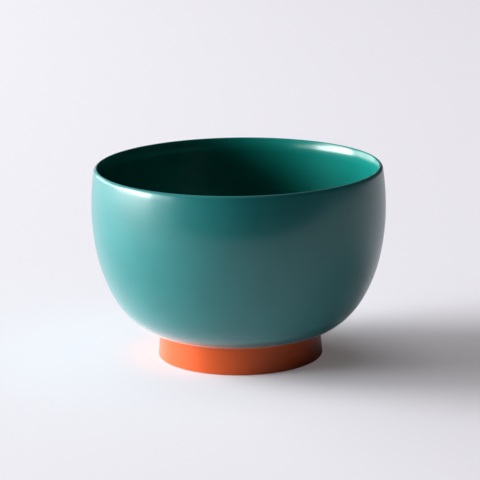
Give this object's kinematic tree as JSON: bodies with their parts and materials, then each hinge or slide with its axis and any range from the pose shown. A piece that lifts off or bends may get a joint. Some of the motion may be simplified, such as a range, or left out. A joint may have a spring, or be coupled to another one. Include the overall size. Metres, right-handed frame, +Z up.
{
  "type": "soup bowl",
  "caption": "Deep round soup bowl of turned wood with a green lacquer finish, a thin eased rim and a separate orange lacquered foot ring.",
  "frame": {"origin": "middle of the foot's bearing face, on the surface that the bowl stands on", "axes": "+Z up along the turning axis, towards the mouth; the bowl is round, so X and Y are free"},
  "size_m": [0.115, 0.115, 0.0758],
  "materials": {
    "body_wood": "turned, sealed under lacquer",
    "foot_wood": "turned, sealed under lacquer",
    "green_outside": "satin lacquer",
    "green_inside": "gloss lacquer",
    "orange_foot": "satin lacquer"
  },
  "bodies": {
    "root": {"bowl_core": "body_wood", "foot_ring": "foot_wood", "outer_lacquer": "green_outside", "inner_lacquer": "green_inside", "foot_lacquer": "orange_foot"}
  },
  "joints": []
}
